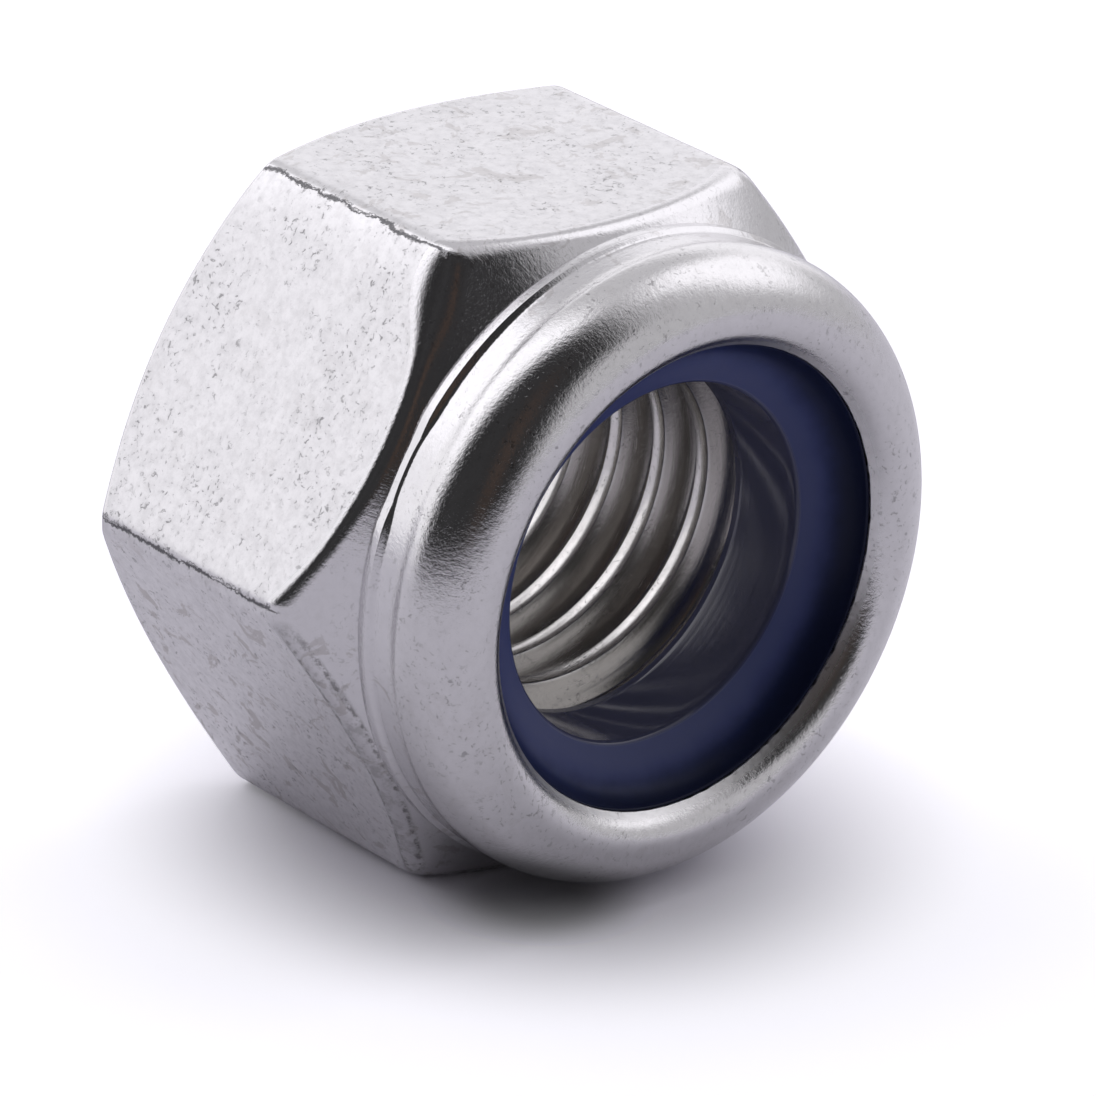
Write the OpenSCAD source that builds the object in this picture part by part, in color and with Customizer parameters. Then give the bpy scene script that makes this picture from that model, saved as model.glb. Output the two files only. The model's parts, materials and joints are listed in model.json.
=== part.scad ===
// Hexagon lock nut with a nylon ring held under a rolled collar.
// It lies on one of its flats, as it comes to rest: the thread axis runs along Y, the collar
// points to -Y, and two corners of the hexagon point to +X and -X.
// The origin is the centre of the bearing face, on the thread axis. All sizes are millimetres.

/* [Hexagon] */
// Width across flats, the size of the spanner
across_flats = 13; // [12:0.1:14]
// Width across the corners, where the turned blank leaves them blunt
across_corners = 14.8; // [14.4:0.1:15]
// Diameter of the flat bearing face, inside its chamfer
bearing_face_d = 12.6; // [11.6:0.1:12.8]
// Angle of the chamfer around the bearing face, from the face's plane
bearing_chamfer_angle = 33; // [25:1:38]
// Angle of the chamfer that slopes up to the collar, from the same plane
collar_chamfer_angle = 40; // [30:1:45]
// Height of the nut, from the bearing face to the crest of the rolled lip
nut_h = 9.45; // [9.3:0.05:9.6]

/* [Thread] */
// Diameter of the tapped hole over the crests of its thread
minor_d = 6.85; // [6.7:0.05:6.95]
// Diameter of the countersink in the bearing face
countersink_d = 8.6; // [8.2:0.1:9]
// Full angle of the countersink in the bearing face
countersink_angle = 120; // [90:5:120]
// Diameter of the countersink under the ring, where the thread runs out
run_out_d = 7.9; // [7.6:0.1:8.2]
// Full angle of the countersink under the ring
run_out_angle = 90; // [60:5:120]

/* [Collar] */
// Height of the collar, from the hexagon to the crest of the rolled lip
collar_h = 2.4; // [2.3:0.05:2.6]
// Diameter of the collar over the bulge of its lip
collar_d = 12.68; // [12.5:0.02:12.8]
// Thickness of the collar's wall
collar_wall = 0.85; // [0.7:0.05:0.95]
// Radius of the rolled lip in section
lip_r = 1.28; // [1.2:0.02:1.36]
// Radius of the curl at the lip's inner edge, in section
curl_r = 0.33; // [0.25:0.01:0.4]
// Diameter of the lip's opening
lip_opening_d = 9.18; // [9:0.02:9.4]
// Depth of the neck between the ridge and the lip, under the lip's bulge
neck_depth = 0.05; // [0.02:0.01:0.1]
// Depth of the crease around the neck, where the lip's bend starts
crease_depth = 0.11; // [0.05:0.01:0.15]
// Distance of the crease below the crest of the lip
crease_drop = 1.47; // [1.4:0.01:1.55]
// Height of the ridge at the collar's foot over the neck
ridge_stand = 0.09; // [0.04:0.01:0.15]
// Width of the ridge, which starts where the hexagon ends
ridge_w = 0.24; // [0.16:0.01:0.3]
// Radius of the ridge's two edges in section
ridge_edge_r = 0.05; // [0.02:0.01:0.07]
// Depth of the groove between the ridge and the neck, under the neck
groove_depth = 0.09; // [0.05:0.01:0.12]
// Width of the groove's floor
groove_w = 0.05; // [0.02:0.01:0.1]
// Length of the slope from the groove up to the neck
neck_slope_h = 0.09; // [0.05:0.01:0.15]

/* [Nylon ring] */
// Depth of the ring's seat below the crest of the lip
seat_depth = 3.05; // [2.95:0.05:3.25]
// Diameter of the ring's hole, smaller than the bolt so that its thread bites
ring_bore_d = 7.16; // [7:0.02:7.3]
// Depth of the hole's front edge below the underside of the lip
dish_depth = 0.46; // [0.3:0.02:0.6]
// Slope of the ring's dished face
dish_angle = 25; // [20:1:30]
// Rounding of the hole's front edge, in section
ring_edge_r = 0.12; // [0.05:0.01:0.2]
// Clearance between the ring and the collar's wall and lip
ring_clearance = 0.02; // [0.01:0.01:0.05]

/* [Quality] */
// Angle of one step of a round in section
arc_step = 7.5; // [5:0.5:15]
// Distance that a cut runs out past a face
overshoot = 0.5; // [0.1:0.1:1]

/* [Hidden] */
$fn = 96;

corner_r = across_corners / 2;
bearing_r = bearing_face_d / 2;
neck_r = collar_d / 2 - neck_depth;
groove_r = neck_r - groove_depth;
hex_h = nut_h - collar_h;
seat_z = nut_h - seat_depth;
bearing_chamfer_h = (corner_r - bearing_r) * tan(bearing_chamfer_angle);
collar_chamfer_h = (corner_r - groove_r) * tan(collar_chamfer_angle);

// The ridge stands on the hexagon's end, then come the groove and the slope up to the neck
ridge_x = neck_r + ridge_stand - ridge_edge_r;
groove_z = hex_h + ridge_w;
neck_z = groove_z + groove_w + neck_slope_h;

// Centre of the rolled lip's round in section, and the radius and height of its underside
lip_x = collar_d / 2 - lip_r;
lip_z = nut_h - lip_r;
under_r = lip_r - collar_wall;
under_z = lip_z + under_r;
recess_r = collar_d / 2 - collar_wall;

// The curl touches the lip's round from inside and the opening's wall
opening_r = lip_opening_d / 2;
curl_x = opening_r + curl_r;
curl_from = acos((curl_x - lip_x) / (lip_r - curl_r));
curl_z = lip_z + (lip_r - curl_r) * sin(curl_from);

// The crease is a V whose far side runs up to the start of the lip's round
crease_z = nut_h - crease_drop;
lip_from = asin((crease_z + crease_depth - lip_z) / lip_r);

// Points of an arc in section, from one angle to another, both ends kept
function arc(x, z, r, from, to) =
    let (steps = max(2, ceil(abs(to - from) / arc_step)))
    [for (i = [0 : steps]) let (a = from + (to - from) * i / steps) [x + r * cos(a), z + r * sin(a)]];

// Half section of the turned blank that the hexagon is cut from, with its two chamfers
function blank_outline() = [
    [0, 0],
    [bearing_r, 0],
    [corner_r, bearing_chamfer_h],
    [corner_r, hex_h - collar_chamfer_h],
    [groove_r, hex_h],
    [0, hex_h]
];

// Half section of the collar: ridge, groove, neck, crease, rolled lip, curl and opening
function collar_outline() = concat(
    [[groove_r, hex_h]],
    arc(ridge_x, hex_h + ridge_edge_r, ridge_edge_r, -90, 0),
    arc(ridge_x, groove_z - ridge_edge_r, ridge_edge_r, 0, 90),
    [
        [groove_r, groove_z],
        [groove_r, groove_z + groove_w],
        [neck_r, neck_z],
        [neck_r, crease_z - crease_depth],
        [neck_r - crease_depth, crease_z]
    ],
    arc(lip_x, lip_z, lip_r, lip_from, curl_from),
    arc(curl_x, curl_z, curl_r, curl_from, 180),
    [[opening_r, hex_h]]
);

// Half section of the space for the ring, from its seat up to the underside of the lip.
// A gap keeps it off the collar's wall and lip.
function recess_outline(gap) = concat(
    [[0, seat_z], [recess_r - gap, seat_z]],
    arc(lip_x, lip_z, under_r - gap, 0, 90),
    [[0, under_z - gap]]
);

// Half section of the tapped hole with its two countersinks, run out past both faces
function hole_outline() =
    let (
        r = minor_d / 2,
        front = countersink_d / 2,
        back = run_out_d / 2,
        front_slope = tan(countersink_angle / 2),
        back_slope = tan(run_out_angle / 2)
    )
    [
        [0, -overshoot],
        [front + overshoot * front_slope, -overshoot],
        [r, (front - r) / front_slope],
        [r, seat_z - (back - r) / back_slope],
        [back, seat_z],
        [back, seat_z + overshoot],
        [0, seat_z + overshoot]
    ];

// Half section of the ring before the recess bounds it: hole, rounded edge and dished face
function ring_outline() =
    let (
        r = ring_bore_d / 2,
        top = under_z - dish_depth,
        bend = 90 - dish_angle,
        outside = collar_d / 2
    )
    concat(
        [[r, seat_z - overshoot], [outside, seat_z - overshoot]],
        [[outside, top + (outside - r) * tan(dish_angle)]],
        arc(r + ring_edge_r, top - ring_edge_r * tan(bend / 2), ring_edge_r, 180 - bend, 180)
    );

// Turns a section built on the bearing face so that its axis points to -Y
module lie_down() {
    rotate([90, 0, 0]) children();
}

module hexagon() {
    intersection() {
        cylinder(h = hex_h, d = across_flats / cos(30), $fn = 6);
        rotate_extrude() polygon(blank_outline());
    }
}

module recess(gap) {
    rotate_extrude() polygon(recess_outline(gap));
}

module nut_body() {
    color("lightgray") lie_down() difference() {
        union() {
            hexagon();
            rotate_extrude() polygon(collar_outline());
        }
        recess(0);
        rotate_extrude() polygon(hole_outline());
    }
}

module nylon_insert() {
    color("midnightblue") lie_down() intersection() {
        recess(ring_clearance);
        rotate_extrude() polygon(ring_outline());
    }
}

nut_body();
nylon_insert();
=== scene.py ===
"""Nylon insert lock nut, lying on a pale floor under soft studio light.

The steel body and the nylon ring are closed surfaces of two parameters: a half section across the
thread axis, carried around that axis. The thread axis is Y, and the collar points to -Y. Lengths
are millimetres until a mesh is made. Heights are measured from the bearing face to the collar.
"""
from __future__ import annotations

import json
import logging
import math
from dataclasses import dataclass, field
from enum import Enum

import bmesh
import bpy
import numpy as np
from mathutils import Matrix, Vector

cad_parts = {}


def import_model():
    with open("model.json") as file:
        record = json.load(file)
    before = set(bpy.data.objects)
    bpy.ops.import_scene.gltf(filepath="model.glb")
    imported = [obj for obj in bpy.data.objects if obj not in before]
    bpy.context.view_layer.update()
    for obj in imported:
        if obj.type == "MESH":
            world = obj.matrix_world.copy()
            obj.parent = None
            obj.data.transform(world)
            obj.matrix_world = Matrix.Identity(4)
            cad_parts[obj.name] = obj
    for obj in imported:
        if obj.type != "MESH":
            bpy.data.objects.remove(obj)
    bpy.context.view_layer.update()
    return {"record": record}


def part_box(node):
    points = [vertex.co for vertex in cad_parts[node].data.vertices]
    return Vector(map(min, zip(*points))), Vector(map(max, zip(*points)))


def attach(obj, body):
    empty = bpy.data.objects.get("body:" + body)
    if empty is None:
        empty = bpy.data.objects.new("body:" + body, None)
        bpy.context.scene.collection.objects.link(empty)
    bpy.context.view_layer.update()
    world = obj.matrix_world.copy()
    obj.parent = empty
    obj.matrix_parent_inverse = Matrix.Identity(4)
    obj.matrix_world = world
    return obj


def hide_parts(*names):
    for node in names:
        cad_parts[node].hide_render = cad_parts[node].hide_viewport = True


MM = 0.001
# Angle between a flat's middle and its corners
HALF_SECTOR = math.pi / 6
LOG = logging.getLogger("lock_nut")
# Types: a node's socket, what may fill one, a colour, a pair of numbers, and a zone with its rows
Socket = bpy.types.NodeSocket
Value = Socket | float | tuple[float, ...]
Colour = tuple[float, float, float]
Pair = tuple[float, float]
ZoneRows = tuple["Zone", np.ndarray]


class Zone(Enum):
    """The machined zones of the steel body, in the order of its material slots."""

    FLATS = 0
    TURNED = 1
    LIP = 2
    BORE = 3
    BEARING = 4


# Shapes


def arc(x: float, z: float, radius: float, start: float, end: float, steps: int) -> np.ndarray:
    """Points of a circle's arc: centre + radius * (cos a, sin a), a even from start to end.

    Args:
        x: Centre's distance from the axis.
        z: Centre's height.
        radius: Radius of the arc.
        start: First angle in degrees.
        end: Last angle in degrees.
        steps: Number of steps between the two.

    Returns:
        Array of (steps + 1, 2) points.
    """
    a = np.radians(np.linspace(start, end, steps + 1))
    return np.stack([x + radius * np.cos(a), z + radius * np.sin(a)], axis=-1)


def rounded(before: np.ndarray, corner: np.ndarray, after: np.ndarray, radius: float | np.ndarray,
            steps: int, margin: float) -> np.ndarray:
    """Replaces the middle one of three rows by tangent arcs with a short flat at each end.

    Each leg is shortened by radius * tan(turn / 2), the arc's centre lies on the bisector, and
    the arc's points are blended between the two radii at even angles.

    Args:
        before: (columns, 2) points before the corner.
        corner: (columns, 2) points of the corner.
        after: (columns, 2) points after it.
        radius: Radius of the rounding, one for all columns or (columns, 1).
        steps: Number of steps along the arc.
        margin: Length of the flat kept between the arc and the next face, for clean shading.

    Returns:
        (steps + 3, columns, 2) points from the first leg to the second.
    """
    to_before = before - corner
    to_after = after - corner
    to_before = to_before / np.linalg.norm(to_before, axis=-1, keepdims=True)
    to_after = to_after / np.linalg.norm(to_after, axis=-1, keepdims=True)
    turn = math.pi - np.arccos(np.clip((to_before * to_after).sum(-1), -1.0, 1.0))
    turn = np.maximum(turn, 1e-4)[:, None]
    leg = radius * np.tan(turn / 2)
    bisector = to_before + to_after
    bisector = bisector / np.linalg.norm(bisector, axis=-1, keepdims=True)
    centre = corner + bisector * radius / np.cos(turn / 2)
    first = corner + to_before * leg - centre
    last = corner + to_after * leg - centre
    share = np.linspace(0.0, 1.0, steps + 1)[:, None, None]
    swept = centre + (np.sin((1 - share) * turn) * first + np.sin(share * turn) * last) / np.sin(turn)
    start = corner + to_before * (leg + margin)
    end = corner + to_after * (leg + margin)
    return np.concatenate([start[None], swept, end[None]])


def around(points: np.ndarray, columns: int) -> np.ndarray:
    """Repeats (rows, 2) section points for every column, as (rows, columns, 2)."""
    return np.repeat(points[:, None, :], columns, axis=1)


def row(angles: np.ndarray, x: float | np.ndarray, z: float | np.ndarray) -> np.ndarray:
    """A row of section points, one for each column, from numbers or one number for each column."""
    return np.stack([x + 0 * angles, z + 0 * angles], axis=-1)


def between(first: np.ndarray, last: np.ndarray, steps: int) -> np.ndarray:
    """Rows evenly between two rows of section points, without the two themselves."""
    share = np.linspace(0.0, 1.0, steps + 1)[1:-1, None, None]
    return first[None] * (1 - share) + last[None] * share


def to_frame(section: np.ndarray, angles: np.ndarray) -> np.ndarray:
    """Turns section points into the part's frame, in metres.

    A point at radius r, height h and angle a lies at (r cos a, -h, r sin a).

    Args:
        section: (rows, columns, 2) radii and heights in millimetres.
        angles: Angle of each column in radians.

    Returns:
        (rows, columns, 3) points.
    """
    radius, height = section[..., 0], section[..., 1]
    return np.stack([radius * np.cos(angles), -height, radius * np.sin(angles)], axis=-1) * MM


def quads(rows: int, columns: int, loop_rows: bool, loop_columns: bool) -> np.ndarray:
    """Indices of the quads of a grid, wound so that they face away from the section's inside.

    Args:
        rows: Number of rows of points.
        columns: Number of columns of points.
        loop_rows: Whether the last row joins the first.
        loop_columns: Whether the last column joins the first.

    Returns:
        Array of (quads, 4) point indices.
    """
    i = np.arange(rows if loop_rows else rows - 1)[:, None]
    j = np.arange(columns if loop_columns else columns - 1)[None, :]
    i_next, j_next = (i + 1) % rows, (j + 1) % columns
    corners = [i * columns + j, i * columns + j_next, i_next * columns + j_next, i_next * columns + j]
    return np.stack(np.broadcast_arrays(*corners), axis=-1).reshape(-1, 4)


def make_piece(name: str, points: np.ndarray, faces: np.ndarray, zones: np.ndarray) -> bpy.types.Object:
    """Makes one smooth closed mesh object at the origin, with its doubled points merged.

    Args:
        name: Name of the object.
        points: (n, 3) points in metres.
        faces: (m, 4) point indices.
        zones: Material slot of each face.

    Returns:
        The new object, linked to the scene.
    """
    mesh = bpy.data.meshes.new(name)
    mesh.from_pydata(points.tolist(), [], faces.tolist())
    mesh.polygons.foreach_set("material_index", zones.astype(np.int32))
    merged = bmesh.new()
    merged.from_mesh(mesh)
    bmesh.ops.remove_doubles(merged, verts=merged.verts, dist=2e-7)
    merged.to_mesh(mesh)
    merged.free()
    mesh.shade_smooth()
    mesh.update()
    piece = bpy.data.objects.new(name, mesh)
    bpy.context.scene.collection.objects.link(piece)
    return piece


def off_corner(angles: np.ndarray) -> np.ndarray:
    """Angle to the hexagon's nearest corner, from 0 to a twelfth of a turn."""
    return np.abs((angles + HALF_SECTOR) % (2 * HALF_SECTOR) - HALF_SECTOR)


def wave(angles: np.ndarray, seed: int, lowest: int, highest: int) -> np.ndarray:
    """A rough closed line around the axis: a sum of cosines of whole frequencies, about -1 to 1.

    Args:
        angles: Angles in radians.
        seed: Seed of the cosines' sizes and shifts.
        lowest: Waves in a turn of the slowest cosine.
        highest: Waves in a turn of the fastest one.

    Returns:
        A value for each angle.
    """
    draw = np.random.default_rng(seed)
    orders = np.arange(lowest, highest + 1)
    shift = draw.uniform(0, 2 * math.pi, orders.size)
    size = draw.normal(0, 1, orders.size)
    total = (size * np.cos(np.outer(angles, orders) + shift)).sum(-1)
    return total / (1.5 * math.sqrt(orders.size))


# Node trees


class Nodes:
    """A short way to write a material's or the world's node tree."""

    def __init__(self, tree: bpy.types.NodeTree) -> None:
        """Empties the tree and keeps it."""
        self.tree = tree
        tree.nodes.clear()

    def add(self, kind: str, settings: dict | None = None, **inputs: Value) -> bpy.types.Node:
        """Adds a node, sets its properties and fills its sockets.

        Args:
            kind: Node type name.
            settings: Properties of the node.
            **inputs: Socket name, with _ for a space, or in0, in1 for a number: a value or a socket.

        Returns:
            The node.
        """
        node = self.tree.nodes.new(kind)
        for key, value in (settings or {}).items():
            setattr(node, key, value)
        for key, value in inputs.items():
            index = int(key[2:]) if key[:2] == "in" and key[2:].isdigit() else key.replace("_", " ")
            socket = node.inputs[index]
            if isinstance(value, Socket):
                self.tree.links.new(value, socket)
            else:
                socket.default_value = value
        return node

    def math(self, operation: str, *values: Value) -> Socket:
        """A Math node's result for numbers or sockets."""
        inputs = {f"in{i}": value for i, value in enumerate(values)}
        return self.add("ShaderNodeMath", {"operation": operation}, **inputs).outputs[0]

    def product(self, first: Value, second: Value) -> Socket:
        """Product of two numbers or sockets."""
        return self.math("MULTIPLY", first, second)

    def total(self, first: Value, second: Value) -> Socket:
        """Sum of two numbers or sockets."""
        return self.math("ADD", first, second)

    def scaled(self, value: Value, factor: Value, base: Value) -> Socket:
        """A value times a factor, added to a base."""
        return self.math("MULTIPLY_ADD", value, factor, base)

    def mix(self, share: Value, first: Value, second: Value) -> Socket:
        """Colour that goes from one to another.

        Args:
            share: Share of the second colour.
            first: Colour where the share is 0.
            second: Colour where the share is 1.

        Returns:
            The mixed colour.
        """
        node = self.add("ShaderNodeMix", {"data_type": "RGBA"}, in0=share, in6=first, in7=second)
        return node.outputs[2]

    def steps(self, value: Value, low: float, high: float, to_low: float = 0.0,
              to_high: float = 1.0) -> Socket:
        """Smooth step between two levels, level outside its two borders.

        Args:
            value: What the step depends on.
            low: Value at which the step starts.
            high: Value at which it ends.
            to_low: Level before the step.
            to_high: Level after it.

        Returns:
            The level.
        """
        settings = {"interpolation_type": "SMOOTHSTEP"}
        node = self.add("ShaderNodeMapRange", settings, Value=value, From_Min=low, From_Max=high,
                        To_Min=to_low, To_Max=to_high)
        return node.outputs["Result"]

    def bumpy_surface(self, colour: Value, roughness: Value, depth: Value, **inputs: Value) -> None:
        """Ends the tree in a Principled shader whose bump has a depth in millimetres.

        Args:
            colour: Base colour.
            roughness: Roughness.
            depth: Height of the surface in millimetres.
            **inputs: Other sockets of the shader.
        """
        bump = self.add("ShaderNodeBump", None, Strength=1.0, Distance=MM, Height=depth)
        shader = self.add("ShaderNodeBsdfPrincipled", None, Base_Color=colour, Roughness=roughness,
                          Normal=bump.outputs[0], **inputs)
        self.add("ShaderNodeOutputMaterial", None, Surface=shader.outputs[0])


@dataclass(frozen=True)
class Noise:
    """A noise pattern: spots per unit of its vector, octaves, their roughness and distortion.

    The border is the range of the pattern's value over which its mask fades in.
    """

    scale: float
    detail: float = 3.0
    roughness: float = 0.5
    distortion: float = 0.0
    border: Pair = (0.0, 1.0)

    def on(self, nodes: Nodes, vector: Socket) -> Socket:
        """The pattern's value at the vector, about 0.5."""
        return nodes.add("ShaderNodeTexNoise", None, Vector=vector, Scale=self.scale, Detail=self.detail,
                         Roughness=self.roughness, Distortion=self.distortion).outputs["Fac"]

    def mask(self, nodes: Nodes, vector: Socket, low: float = 0.0, high: float = 1.0) -> Socket:
        """Smooth step from low to high across the pattern's border."""
        return nodes.steps(self.on(nodes, vector), *self.border, low, high)

    def shift(self, nodes: Nodes, vector: Socket, width: float) -> Socket:
        """A shift to both sides of nought, over a width in all."""
        return nodes.scaled(self.on(nodes, vector), width, -width / 2)


def new_material(name: str) -> tuple[bpy.types.Material, Nodes]:
    """Makes a material whose node tree is still empty.

    Args:
        name: Name of the material.

    Returns:
        The material and its nodes.
    """
    material = bpy.data.materials.new(name)
    material.use_nodes = True
    return material, Nodes(material.node_tree)


def opaque(colour: Colour, factor: float | Colour = 1.0) -> tuple[float, float, float, float]:
    """A colour times one factor, or times a factor for each channel, with full opacity."""
    factors = factor if isinstance(factor, tuple) else (factor,) * 3
    return tuple(f * c for f, c in zip(factors, colour)) + (1.0,)


def place_in_mm(nodes: Nodes) -> Socket:
    """Object coordinates in millimetres."""
    place = nodes.add("ShaderNodeTexCoord").outputs["Object"]
    return nodes.add("ShaderNodeVectorMath", {"operation": "SCALE"}, in0=place, Scale=1 / MM).outputs[0]


@dataclass(frozen=True)
class PolarPlace:
    """A surface point's place around the thread axis, as node sockets, in millimetres."""

    place: Socket
    radius: Socket
    height: Socket
    east: Socket
    north: Socket

    @classmethod
    def of(cls, nodes: Nodes) -> PolarPlace:
        """Works out radius, height and direction (cos a, sin a) from the Object coordinates.

        Args:
            nodes: The material's nodes.

        Returns:
            The place.
        """
        place = place_in_mm(nodes)
        parts = nodes.add("ShaderNodeSeparateXYZ", None, Vector=place).outputs
        squared = nodes.total(nodes.product(parts[0], parts[0]), nodes.product(parts[2], parts[2]))
        radius = nodes.math("SQRT", squared)
        return cls(
            place=place,
            radius=radius,
            height=nodes.product(parts[1], -1.0),
            east=nodes.math("DIVIDE", parts[0], radius),
            north=nodes.math("DIVIDE", parts[2], radius),
        )

    def angle(self, nodes: Nodes) -> Socket:
        """Angle around the axis in radians."""
        return nodes.math("ARCTAN2", self.north, self.east)

    def vector(self, nodes: Nodes, turn: float, out: float, up: float) -> Socket:
        """Vector that changes by turn around the axis, by out with the radius and by up along it."""
        rise = nodes.total(nodes.product(self.radius, out), nodes.product(self.height, up))
        return nodes.add("ShaderNodeCombineXYZ", None, in0=nodes.product(self.east, turn),
                         in1=nodes.product(self.north, turn), in2=rise).outputs[0]


@dataclass(frozen=True)
class SteelMarks:
    """The patterns of the marks on all the steel, and where on the nut the stains lie.

    lower_half and top_flat are the two ends of a fade, as sines of the angle around the axis.
    """

    clouds: Noise = Noise(0.9, 3.0, 0.6, border=(0.40, 0.60))
    mottle: Noise = Noise(4.5, 4.0, 0.75, border=(0.34, 0.70))
    grains: Noise = Noise(13.0, 4.0, 0.7)
    peaks: Noise = Noise(9.0, 3.0, 0.6, 0.8, border=(0.58, 0.68))
    stray_specks: float = 0.2
    contour: Noise = Noise(1.5, 5.0, 0.62, 0.9, border=(0.56, 0.62))
    lower_half: Pair = (-0.10, 0.02)
    upper_stains: float = 0.12
    top_flat: Pair = (0.85, 0.88)
    top_stains: float = 0.6
    streaks: Noise = Noise(1.0, 3.0, 0.68)

    def masks(self, nodes: Nodes, polar: PolarPlace,
              lines: tuple[float, float, float]) -> dict[str, Socket]:
        """Works out the masks of the marks, each from 0 to 1.

        Clouds, mottle and grains are noise. Specks are the peaks of fine noise, most of them inside
        the clouds. Stains are the inside of a contour of distorted noise, with sharp borders, and
        most lie on the lower half and the top flat. Lines are noise drawn out along the tool's way.

        Args:
            nodes: The material's nodes.
            polar: The surface point's place.
            lines: How fast the lines change around the axis, with the radius and along the axis.

        Returns:
            Sockets for clouds, mottle, grains, specks, stains and lines.
        """
        clouds = self.clouds.on(nodes, polar.place)
        patches = nodes.steps(clouds, *self.clouds.border)
        peaks = self.peaks.mask(nodes, polar.place)
        spread = nodes.scaled(patches, 1 - self.stray_specks, self.stray_specks)
        contour = self.contour.mask(nodes, polar.place)
        lower = nodes.steps(polar.north, *self.lower_half, 1.0, self.upper_stains)
        top = nodes.steps(polar.north, *self.top_flat, 0.0, self.top_stains)
        return {
            "clouds": clouds,
            "mottle": self.mottle.mask(nodes, polar.place),
            "grains": self.grains.on(nodes, polar.place),
            "specks": nodes.product(peaks, spread),
            "stains": nodes.product(contour, nodes.math("MAXIMUM", lower, top)),
            "lines": self.streaks.on(nodes, polar.vector(nodes, *lines)),
        }


@dataclass(frozen=True)
class CornerBurrsAndShade:
    """The ragged dark line along each corner of the hexagon, a shallow burr whose dark colour is painted
    shadow, with its sizes in millimetres.

    Pairs are the two ends of a fade, or its levels there. left_corner is cosines of the angle.
    """

    # The dark colour is painted shadow of the burr.
    colour: Colour = (0.05, 0.05, 0.055)
    strength: float = 0.85
    depth: float = 0.01
    left_corner: Pair = (-0.95, -0.80)
    shift: Pair = (-0.21, -0.12)
    wander: Noise = Noise(1.1, 1.0)
    wander_width: float = 0.24
    shake: Noise = Noise(4.0, 5.0, 0.8)
    shake_width: float = 0.30
    swell: Noise = Noise(1.8, 3.0, border=(0.35, 0.65))
    half_width: Pair = (0.014, 0.055)
    fade: Pair = (0.4, 1.1)
    crack: Noise = Noise(2.1, 4.0, 0.7)
    crack_shift: float = 0.30
    crack_wander: float = 0.55
    crack_border: Pair = (0.006, 0.022)
    crack_strength: float = 0.7
    low_end: Pair = (0.35, 0.60)
    high_end: Pair = (5.82, 6.02)

    def mask(self, nodes: Nodes, polar: PolarPlace) -> Socket:
        """Mask of the line and of the thin crack beside it.

        The distance to the corner is the angle wrapped to a sixth of a turn, times the radius. It
        is shifted, more so at the left corner, and two noises make it wander and shake. A third
        changes the line's width, and a fourth makes the crack stray from the line.

        Args:
            nodes: The material's nodes.
            polar: The surface point's place.

        Returns:
            The mask, from 0 to 1.
        """
        sector = nodes.math("WRAP", polar.angle(nodes), HALF_SECTOR, -HALF_SECTOR)
        across = nodes.product(sector, polar.radius)
        shift = nodes.steps(polar.east, *self.left_corner, *self.shift)
        wander = nodes.scaled(self.wander.on(nodes, polar.place), self.wander_width, shift)
        shake = self.shake.shift(nodes, polar.place, self.shake_width)
        off = nodes.math("SUBTRACT", across, nodes.total(wander, shake))
        half_width = self.swell.mask(nodes, polar.place, *self.half_width)
        line = nodes.math("DIVIDE", nodes.math("ABSOLUTE", off), half_width)
        line = nodes.steps(line, *self.fade, 1.0, 0.0)
        stray = nodes.scaled(self.crack.on(nodes, polar.place), -self.crack_wander, self.crack_shift)
        crack = nodes.math("ABSOLUTE", nodes.total(off, stray))
        crack = nodes.steps(crack, *self.crack_border, self.crack_strength, 0.0)
        ends = nodes.product(nodes.steps(polar.height, *self.low_end),
                             nodes.steps(polar.height, *self.high_end, 1.0, 0.0))
        return nodes.product(nodes.math("MAXIMUM", line, crack), ends)


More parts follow.
